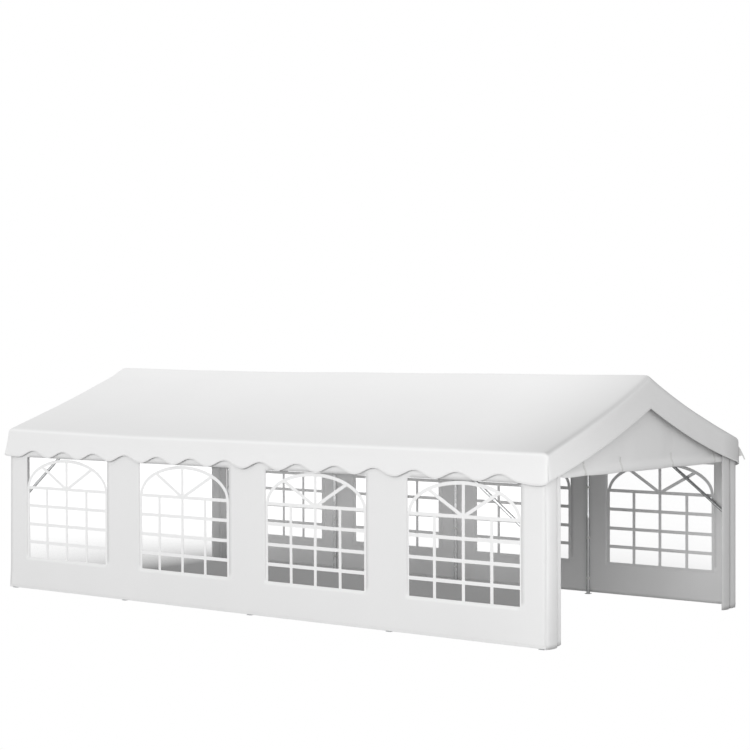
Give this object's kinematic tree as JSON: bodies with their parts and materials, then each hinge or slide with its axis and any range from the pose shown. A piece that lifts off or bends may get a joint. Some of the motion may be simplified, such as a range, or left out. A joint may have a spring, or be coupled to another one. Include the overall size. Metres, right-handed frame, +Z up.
{
  "type": "marquee tent",
  "caption": "Long white party marquee on a steel tube frame, with a pitched roof, scalloped valances, arched side windows and open gable doorways.",
  "frame": {"origin": "middle of the tent's plan, at ground level", "axes": "+X along the ridge to the front gable, +Y to the right side wall, +Z up"},
  "size_m": [8.0466, 3.9528, 2.69],
  "materials": {
    "galvanised_tube": "bright galvanised steel tube",
    "roof_cloth": "white coated woven sheet, satin",
    "wall_cloth": "white coated woven sheet, satin",
    "flap_cloth": "white coated woven sheet, satin",
    "window_film": "clear flexible film"
  },
  "bodies": {
    "root": {"leg_left_1": "galvanised_tube", "leg_left_2": "galvanised_tube", "leg_left_3": "galvanised_tube", "leg_left_4": "galvanised_tube", "leg_left_5": "galvanised_tube", "leg_right_1": "galvanised_tube", "leg_right_2": "galvanised_tube", "leg_right_3": "galvanised_tube", "leg_right_4": "galvanised_tube", "leg_right_5": "galvanised_tube", "rafters_1": "galvanised_tube", "rafters_2": "galvanised_tube", "rafters_3": "galvanised_tube", "rafters_4": "galvanised_tube", "rafters_5": "galvanised_tube", "ridge_purlin": "galvanised_tube", "eave_purlin_left": "galvanised_tube", "brace_left_front": "galvanised_tube", "brace_left_rear": "galvanised_tube", "eave_purlin_right": "galvanised_tube", "brace_right_front": "galvanised_tube", "brace_right_rear": "galvanised_tube", "roof_cover": "roof_cloth", "valance_left": "roof_cloth", "valance_right": "roof_cloth", "gable_flap_front": "flap_cloth", "gable_header_front": "flap_cloth", "door_roll_front": "flap_cloth", "door_curtain_front_left": "wall_cloth", "door_curtain_front_right": "wall_cloth", "gable_flap_rear": "flap_cloth", "gable_header_rear": "flap_cloth", "door_roll_rear": "flap_cloth", "door_curtain_rear_left": "wall_cloth", "door_curtain_rear_right": "wall_cloth", "side_wall_left": "wall_cloth", "window_left_1": "window_film", "window_left_2": "window_film", "window_left_3": "window_film", "window_left_4": "window_film", "side_wall_right": "wall_cloth", "window_right_1": "window_film", "window_right_2": "window_film", "window_right_3": "window_film", "window_right_4": "window_film"}
  },
  "joints": []
}
